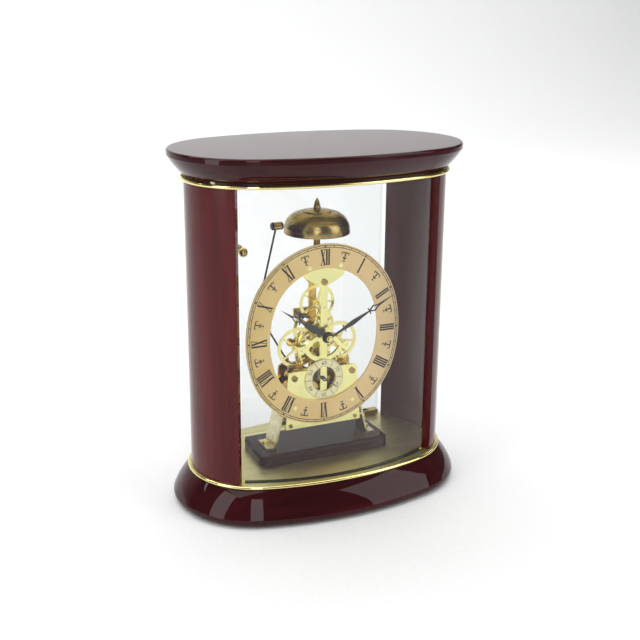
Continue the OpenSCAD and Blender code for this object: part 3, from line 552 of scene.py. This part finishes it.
dial = Print(dial_x, dial_z, low[1] / MM)
for inner, outer in TRACK_LINES:
    dial.loop(dial_loop(inner), dial_loop(outer))
for minute in range(60):
    angle = 6 * minute
    dial.line(*(dial_point(angle, inset) for inset in TICK_ENDS), LINE)
    if minute % 5 == 0:
        spot = dial_point(angle, DOT_INSET)
        dial.shape([spot + DOT_RADIUS * clockwise(30 * k) for k in range(12)])
for hour, text in enumerate(NUMERALS):
    numeral(dial, text, 30 * hour)
    half_marker(dial, 30 * hour + 15)
dial.finish("dial_print", black, "case")

# Each figure is one path in a unit box.
DIGITS = {
    "0": [
        (0.5, 1), (0.85, 0.85), (1, 0.5), (0.85, 0.15), (0.5, 0), (0.15, 0.15), (0, 0.5),
        (0.15, 0.85), (0.5, 1),
    ],
    "1": [(0.25, 0.8), (0.6, 1), (0.6, 0)],
    "2": [(0.05, 0.75), (0.3, 1), (0.75, 0.98), (0.9, 0.7), (0, 0), (1, 0)],
    "3": [(0, 1), (0.9, 1), (0.45, 0.6), (0.95, 0.35), (0.6, 0), (0, 0.08)],
    "4": [(0.75, 0), (0.75, 1), (0, 0.3), (1, 0.3)],
    "5": [(0.9, 1), (0.15, 1), (0.08, 0.55), (0.65, 0.6), (0.95, 0.3), (0.6, 0), (0, 0.08)],
    "6": [
        (0.8, 1), (0.2, 0.65), (0, 0.25), (0.35, 0), (0.85, 0.08), (0.9, 0.4), (0.5, 0.55),
        (0.05, 0.35),
    ],
}

FIGURE_TALL = 2.5
FIGURE_WIDE = 1.45
FIGURE_GAP = 0.75
FIGURE_STROKE = 0.34
BAR_STROKE = 0.32
SECOND_STROKE = 0.16
CIRCLE_STROKE = 0.12

low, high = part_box("seconds_ring")
ring_out = (high[0] - low[0]) / 2 / MM
ring_wide = 6.0
outer_circle = ring_out - 0.3
inner_circle = ring_out - ring_wide + 0.35
ring = Print((low[0] + high[0]) / 2 / MM, (low[2] + high[2]) / 2 / MM, low[1] / MM)
for label in range(6):
    way = clockwise(60 * label)
    turn = facing_out(way)
    text = str(10 * label or 60)
    for place, digit in enumerate(text):
        left = (place - 0.5) * (FIGURE_WIDE + FIGURE_GAP) - FIGURE_WIDE / 2
        shift = Vector((left, -FIGURE_TALL / 2))
        path = [Vector((x * FIGURE_WIDE, y * FIGURE_TALL)) + shift for x, y in DIGITS[digit]]
        for p, q in zip(path, path[1:]):
            ring.line(p, q, FIGURE_STROKE, turn, way * (ring_out - ring_wide / 2))
    between = clockwise(60 * label + 30)
    ring.line(between * (ring_out - 0.5), between * (ring_out - ring_wide + 1.0), BAR_STROKE)
for second in range(60):
    if second % 5:
        way = clockwise(6 * second)
        ring.line(way * outer_circle, way * (ring_out - 0.75), SECOND_STROKE)
circle = [clockwise(3 * i) for i in range(120)]
for radius in (outer_circle, inner_circle):
    ring.loop([p * (radius - CIRCLE_STROKE) for p in circle], [p * radius for p in circle])
ring.finish("seconds_print", black, "case")


# ---- Seal and painted groove shade where the front glass meets the two plates ----


GLASS_THICK = 0.003
GLASS_RADIUS = 0.178


def glazing_seal(wide, tall, sink, skin, material):
    """Dark U channel round the glass's bottom and top edges, with a bead each side of the pane: a
    seal, made dark to paint the shade in the glazing groove.

    The beads are wide and tall beside the pane; the channel reaches sink below the plate's
    face, and its walls are skin thick and press a third of that into the glass.
    """
    low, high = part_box("front_glass")
    half = (high[0] - low[0]) / 2
    centre_y = low[1] + GLASS_RADIUS
    reach = math.asin(half / GLASS_RADIUS) * 0.985
    press = skin / 3
    inner, outer = press, GLASS_THICK - press
    bead = [(wide, 0.0), (wide * 0.85, tall * 0.6), (wide * 0.4, tall), (0.0, tall)]
    section = [(-out, up) for out, up in bead]
    section += [(inner, tall), (inner, skin - sink), (outer, skin - sink), (outer, tall)]
    section += [(GLASS_THICK + out, up) for out, up in reversed(bead)]
    section += [(GLASS_THICK + skin, 0.0), (GLASS_THICK + skin, -sink - skin)]
    section += [(-skin, -sink - skin), (-skin, 0.0)]
    mesh = bmesh.new()
    steps = 64
    for base, way in ((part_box("floor_plate")[1][2], 1), (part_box("top_plate")[0][2], -1)):
        rows = []
        for i in range(steps + 1):
            a = reach * (2 * i / steps - 1)
            row = []
            for out, up in section:
                r = GLASS_RADIUS - out
                place = (r * math.sin(a), centre_y - r * math.cos(a), base + way * up)
                row.append(mesh.verts.new(place))
            rows.append(row)
        for a, b in zip(rows, rows[1:]):
            for i in range(len(section)):
                j = (i + 1) % len(section)
                mesh.faces.new((a[i], a[j], b[j], b[i]))
        mesh.faces.new(rows[0])
        mesh.faces.new(rows[-1][::-1])
    bmesh.ops.recalc_face_normals(mesh, faces=mesh.faces)
    obj = mesh_object("glazing_seal", mesh, material)
    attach(obj, "case")


# The seal's dark rubber also stands in for the shade in the groove under and over the glass.
glazing_seal(0.0007, 0.0004, 0.0006, 0.0001, rubber)


# ---- Studio ----


def sweep_floor():
    """White paper sweep: a flat floor that curves up into a wall behind the clock."""
    front, back, bend, tall, half, steps = -3.2, 1.4, 1.2, 3.0, 4.0, 12
    profile = [(front, 0.0), (back, 0.0)]
    for i in range(1, steps + 1):
        a = math.pi / 2 * i / steps
        profile.append((back + bend * math.sin(a), bend * (1 - math.cos(a))))
    profile.append((back + bend, tall))
    mesh = bmesh.new()
    rows = [[mesh.verts.new((x, y, z)) for x in (-half, half)] for y, z in profile]
    for a, b in zip(rows, rows[1:]):
        mesh.faces.new((a[0], a[1], b[1], b[0]))
    paper = Finish("paper", Roughness=0.9)
    tooth = paper.noise(400.0, 3.0)
    paper.colour(paper.ramp(tooth, (0.3, (0.86, 0.86, 0.86)), (0.7, (0.90, 0.90, 0.90))))
    obj = mesh_object("paper_sweep", mesh, paper.material)
    for polygon in obj.data.polygons:
        polygon.use_smooth = True


def softbox(name, place, aim, size, power):
    lamp = bpy.data.lights.new(name, "AREA")
    lamp.shape = "RECTANGLE"
    lamp.size, lamp.size_y = size
    lamp.energy = power
    obj = bpy.data.objects.new(name, lamp)
    obj.location = place
    obj.rotation_mode = "QUATERNION"
    obj.rotation_quaternion = (Vector(aim) - Vector(place)).to_track_quat("-Z", "Y")
    bpy.context.scene.collection.objects.link(obj)


sweep_floor()
softbox("overhead", (0.0, 0.15, 1.5), (0, 0.1, 0), (2.2, 1.8), 25)
softbox("left_strip", (-1.25, -0.35, 0.60), (0, 0, 0.12), (0.5, 1.5), 7)
softbox("front_strip", (-0.55, -1.30, 0.75), (0, 0, 0.12), (0.4, 1.4), 5.5)
softbox("right_front", (1.05, -1.05, 0.70), (0, 0, 0.12), (0.8, 1.4), 8)
softbox("wall_wash", (0.3, 1.0, 1.5), (0.3, 2.3, 0.0), (5.0, 0.5), 36)

world = bpy.data.worlds.new("studio")
world.use_nodes = True
world.node_tree.nodes["Background"].inputs["Color"].default_value = (0.60, 0.62, 0.65, 1)
world.node_tree.nodes["Background"].inputs["Strength"].default_value = 0.18
bpy.context.scene.world = world
bpy.context.scene.view_settings.view_transform = "Standard"


# ---- Camera, at the photograph's angle ----

AZIMUTH = math.radians(-24.1)
ELEVATION = math.radians(16.74)
ROLL = math.radians(0.38)
DISTANCE = 0.7507
TARGET = Vector((0, 0, 0.1383))

camera = bpy.data.objects.new("camera", bpy.data.cameras.new("camera"))
camera.data.lens = 58.1
camera.data.shift_x = 0.0044
camera.data.shift_y = -0.0228
camera.data.clip_start = 0.01
back = Vector(
    (
        math.sin(AZIMUTH) * math.cos(ELEVATION),
        -math.cos(AZIMUTH) * math.cos(ELEVATION),
        math.sin(ELEVATION),
    )
)
camera.location = TARGET + back * DISTANCE
camera.rotation_mode = "QUATERNION"
camera.rotation_quaternion = (
    Matrix.Rotation(ROLL, 3, back).to_quaternion() @ (-back).to_track_quat("-Z", "Y")
)
bpy.context.scene.collection.objects.link(camera)
bpy.context.scene.camera = camera
